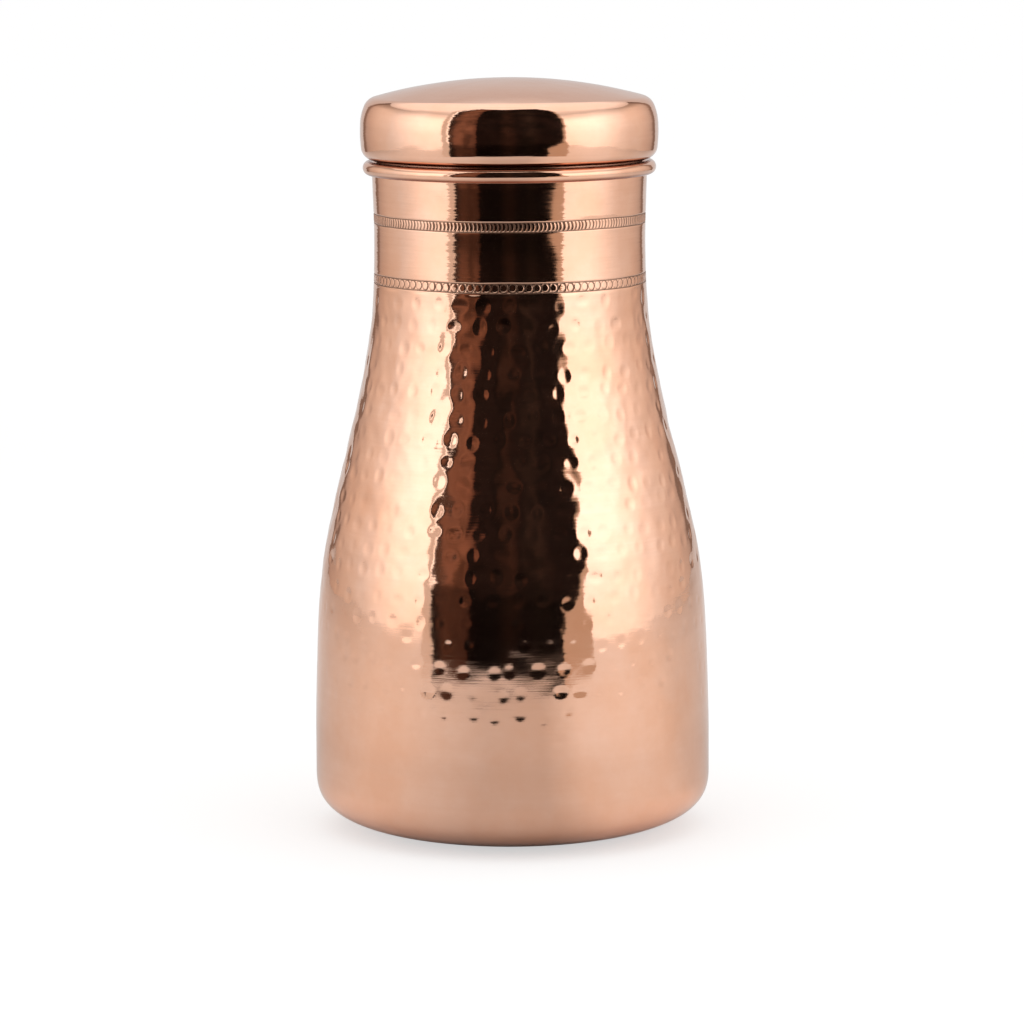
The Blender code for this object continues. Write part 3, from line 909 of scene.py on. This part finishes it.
card_heights = (FLOOR_Z, 0.05, 0.09, 0.105, 0.12, 0.130, 0.140, 0.150, 0.16, 0.17, 0.18, 0.3, 0.6, 1.2, CARD_TOP)
card = curved("black_card", CARD_R, card_left, card_right, card_heights, 96)
cmat, cnt, cem = emitter("card_dark")
card_c, cxyz, ccoord = by_bearing(cnt, CARD)
blot = node(cnt, "ShaderNodeTexNoise")
blot.inputs["Scale"].default_value = 7.0
blot.inputs["Detail"].default_value = 4.0
cnt.links.new(ccoord.outputs["Object"], blot.inputs["Vector"])
patchy = cnt.nodes.new("ShaderNodeMapRange")
for i, v in enumerate((0.35, 0.65, 0.45, 1.4)):
    patchy.inputs[1 + i].default_value = v
cnt.links.new(blot.outputs["Fac"], patchy.inputs[0])
warm_c = scaled(cnt, card_c, patchy.outputs[0])
high = cnt.nodes.new("ShaderNodeMapRange")
high.inputs[1].default_value, high.inputs[2].default_value = 0.140, 0.168
cnt.links.new(cxyz.outputs[2], high.inputs[0])
lower = node(cnt, "ShaderNodeMix", data_type="RGBA")
cnt.links.new(high.outputs[0], lower.inputs[0])
cnt.links.new(scaled(cnt, warm_c, node_value(cnt, 0.30)), lower.inputs[6])
cnt.links.new(warm_c, lower.inputs[7])
cnt.links.new(lower.outputs[2], cem.inputs["Color"])
card.data.materials.append(cmat)
card.visible_diffuse = False
for name, left, right, level, start in STRIPS + (("tan_strip", None, None, (0.57, 0.46, 0.37), -1.0),):
    tall = tuple(h for h in card_heights if h >= start)
    if left is None:
        strip = curved(name, CARD_R + 0.004, lambda h: card_right(h) - 0.5, tan_right, tall, 8)
    else:
        back_off = 0.003 if start > 0 else 0.006
        strip = curved(name, CARD_R + back_off, lambda h: card_left(h) + left, lambda h: card_left(h) + right, tall, 6)
    mat, nt, em = emitter(name)
    em.inputs["Color"].default_value = (*level, 1)
    strip.data.materials.append(mat)
    strip.visible_diffuse = False

world = bpy.data.worlds.new("studio")
bpy.context.scene.world = world
world.use_nodes = True
wnt = world.node_tree
for n in list(wnt.nodes):
    wnt.nodes.remove(n)
wo = wnt.nodes.new("ShaderNodeOutputWorld")
bg = wnt.nodes.new("ShaderNodeBackground")
tc = wnt.nodes.new("ShaderNodeTexCoord")
wx = wnt.nodes.new("ShaderNodeSeparateXYZ")
wnt.links.new(tc.outputs["Generated"], wx.inputs[0])


def sky_ramp(table):
    r = wnt.nodes.new("ShaderNodeValToRGB")
    els = r.color_ramp.elements
    while len(els) > 1:
        els.remove(els[0])
    for i, (s, v) in enumerate(table):
        e = els[0] if i == 0 else els.new(s)
        e.position = s
        e.color = (v, v, v, 1) if isinstance(v, float) else (*v, 1)
    wnt.links.new(wx.outputs[2], r.inputs[0])
    return r.outputs[0]


def sky_math(operation, a, b):
    n = node(wnt, "ShaderNodeMath", operation=operation)
    for i, v in enumerate((a, b)):
        if isinstance(v, float):
            n.inputs[i].default_value = v
        else:
            wnt.links.new(v, n.inputs[i])
    return n.outputs[0]


def sky_step(value, a, b):
    n = node(wnt, "ShaderNodeMapRange", interpolation_type="SMOOTHSTEP")
    n.inputs[1].default_value, n.inputs[2].default_value = a, b
    wnt.links.new(value, n.inputs[0])
    return n.outputs[0]


def sky_mix(fac, a, b):
    m = node(wnt, "ShaderNodeMix", data_type="RGBA")
    wnt.links.new(fac, m.inputs[0])
    for i, c in ((6, a), (7, b)):
        if isinstance(c, tuple):
            m.inputs[i].default_value = (*c, 1.0)
        else:
            wnt.links.new(c, m.inputs[i])
    return m.outputs[2]


front_sky = sky_ramp(((0.0, 0.60), (0.45, 0.62), (0.60, 0.85), (0.72, 1.25), (1.0, 1.30)))
back_sky = sky_ramp(((0.0, (0.655, 0.62, 0.61)), (0.50, (0.655, 0.62, 0.61)), (0.66, 1.20), (1.0, 1.35)))
sky = sky_mix(sky_step(wx.outputs[1], -0.05, 0.10), front_sky, back_sky)
wnt.links.new(sky, bg.inputs["Color"])
plain = wnt.nodes.new("ShaderNodeBackground")
plain.inputs["Color"].default_value = (BACKDROP, BACKDROP, BACKDROP, 1)
lp = wnt.nodes.new("ShaderNodeLightPath")
mx = wnt.nodes.new("ShaderNodeMixShader")
wnt.links.new(lp.outputs["Is Camera Ray"], mx.inputs[0])
wnt.links.new(bg.outputs[0], mx.inputs[1])
wnt.links.new(plain.outputs[0], mx.inputs[2])
wnt.links.new(mx.outputs[0], wo.inputs["Surface"])

# ---------------------------------------------------------------- the camera
cam_data = bpy.data.cameras.new("camera")
cam = bpy.data.objects.new("camera", cam_data)
bpy.context.scene.collection.objects.link(cam)
bpy.context.scene.camera = cam
cam_data.lens = 168.75
cam_data.sensor_width = 36.0
cam_data.clip_start, cam_data.clip_end = 0.05, 100.0
eye = Vector((0.0, -1.587, 0.3283))
aim = Vector((0.00024, 0.0, 0.1054))
look = (aim - eye).to_track_quat("-Z", "Y").to_matrix().to_4x4()
cam.matrix_world = Matrix.Translation(eye) @ look @ Matrix.Rotation(-0.0055, 4, "Z")

bpy.context.scene.view_settings.view_transform = "Standard"
bpy.context.scene.view_settings.look = "None"
bpy.context.scene.view_settings.exposure = 0.0
bpy.context.scene.view_settings.gamma = 1.0

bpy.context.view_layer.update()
